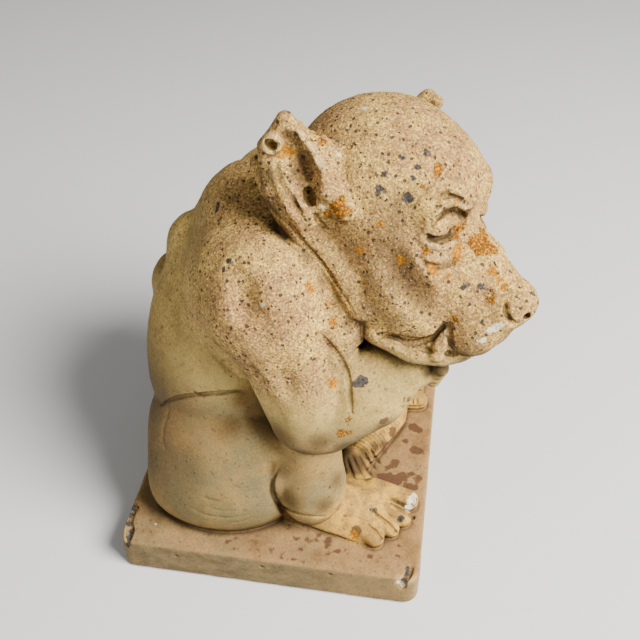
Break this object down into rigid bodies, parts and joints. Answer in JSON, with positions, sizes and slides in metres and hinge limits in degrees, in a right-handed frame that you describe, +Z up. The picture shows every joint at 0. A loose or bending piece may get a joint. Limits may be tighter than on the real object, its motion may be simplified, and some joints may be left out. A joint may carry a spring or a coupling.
{
  "type": "stone gargoyle garden statue",
  "caption": "Crouching beast with a heavy snout and pointed ears, chin on its fists and elbows on its knees, carved in one with a rectangular plinth.",
  "frame": {"origin": "centre of the plinth's underside, on the plane it stands on", "axes": "+Z up, the beast crouches facing -Y with its snout turned toward -X, +X is its left"},
  "size_m": [0.36, 0.4078, 0.5133],
  "materials": {
    "stone": "weathered, fine-grained cast stone"
  },
  "bodies": {
    "root": {"gargoyle": "stone"}
  },
  "joints": []
}
